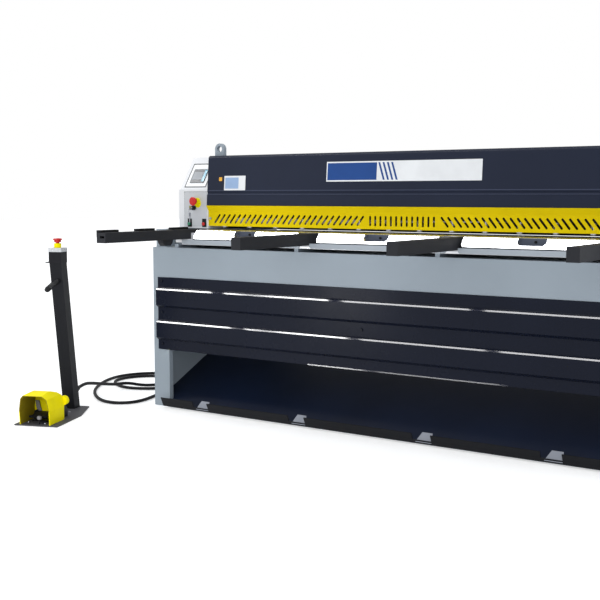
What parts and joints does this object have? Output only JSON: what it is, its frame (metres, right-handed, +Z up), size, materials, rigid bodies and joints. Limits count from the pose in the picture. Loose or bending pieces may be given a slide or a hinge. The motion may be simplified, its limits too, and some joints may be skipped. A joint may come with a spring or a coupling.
{
  "type": "mechanical plate shear",
  "caption": "Mechanical guillotine shear for sheet metal, with a slotted finger guard, bevelled table, support arms, ribbed apron, sloped chute and a foot-switch console on a cable.",
  "frame": {"origin": "centre of the four floor anchor holes, on the floor", "axes": "+X along the cut to the right seen from the operator, +Y to the back of the machine, +Z up"},
  "size_m": [3.1027, 1.6898, 1.247],
  "materials": {
    "grey_paint": "satin",
    "light_grey_paint": "satin",
    "navy_paint": "semi gloss",
    "chute_paint": "gloss",
    "black_paint": "satin",
    "yellow_paint": "semi gloss",
    "machined_steel": "ground",
    "blade_steel": "ground",
    "white_plastic": "satin",
    "black_plastic": "matte",
    "light_grey_plastic": "matte",
    "yellow_plastic": "gloss",
    "red_plastic": "gloss",
    "green_plastic": "gloss",
    "cable_sheath": "ribbed"
  },
  "bodies": {
    "machine": {"left_side_frame": "grey_paint", "right_side_frame": "grey_paint", "front_beam": "grey_paint", "bed_beam": "grey_paint", "table_spacers": "grey_paint", "table": "machined_steel", "lower_blade": "blade_steel", "upper_blade": "blade_steel", "blade_beam": "grey_paint", "hold_down_beam": "black_paint", "hold_down_feet": "blade_steel", "squaring_arm": "black_paint", "support_arm_1": "black_paint", "support_arm_2": "black_paint", "support_arm_3": "black_paint", "arm_brackets": "light_grey_paint", "squaring_fence": "black_paint", "apron_panel": "navy_paint", "chute": "chute_paint", "chute_lip": "black_paint", "front_cross_member": "grey_paint", "rear_cross_member": "grey_paint", "upper_cover": "navy_paint", "rear_cover": "navy_paint", "finger_guard": "yellow_paint", "left_housing": "light_grey_paint", "right_housing": "light_grey_paint", "left_lifting_eye": "grey_paint", "right_lifting_eye": "grey_paint", "control_fascia": "white_plastic", "display_bezel": "black_plastic", "control_panel": "grey_paint", "stop_collar": "yellow_plastic", "start_button_collar": "black_plastic", "halt_button_collar": "black_plastic", "key_switch": "black_plastic", "back_gauge_guides": "blade_steel", "back_gauge_bar": "grey_paint", "console_base": "black_paint", "console_post": "black_paint", "console_head": "black_plastic", "console_cap": "light_grey_plastic", "console_stop_collar": "yellow_plastic", "console_peg": "black_plastic", "pedal_hood": "yellow_plastic", "switch_block": "black_plastic", "hood_knob": "yellow_plastic", "pedal_stand": "black_paint", "console_gland": "black_plastic", "frame_gland": "black_plastic", "console_cable": "cable_sheath"},
    "pedal": {"foot_pedal": "black_plastic"},
    "stop_head": {"stop_mushroom": "red_plastic"},
    "console_stop_head": {"console_stop_mushroom": "red_plastic"},
    "start_head": {"start_button": "green_plastic"},
    "halt_head": {"halt_button": "red_plastic"}
  },
  "joints": [
    {"name": "pedal_hinge", "type": "hinge", "parent": "machine", "child": "pedal", "pos_m": [-1.3507, -1.05047, 0.036], "axis": [0.9336, 0.3584, 0], "range_deg": [0, 10], "stiffness_Nm_per_rad": 2, "springref_deg": -11.46},
    {"name": "stop_push", "type": "slide", "parent": "machine", "child": "stop_head", "axis": [0, 1, 0], "range_m": [0, 0.004]},
    {"name": "console_stop_push", "type": "slide", "parent": "machine", "child": "console_stop_head", "axis": [0, 0, -1], "range_m": [0, 0.004]},
    {"name": "start_push", "type": "slide", "parent": "machine", "child": "start_head", "axis": [0, 1, 0], "range_m": [0, 0.003], "stiffness_N_per_m": 600},
    {"name": "halt_push", "type": "slide", "parent": "machine", "child": "halt_head", "axis": [0, 1, 0], "range_m": [0, 0.003], "stiffness_N_per_m": 600}
  ]
}
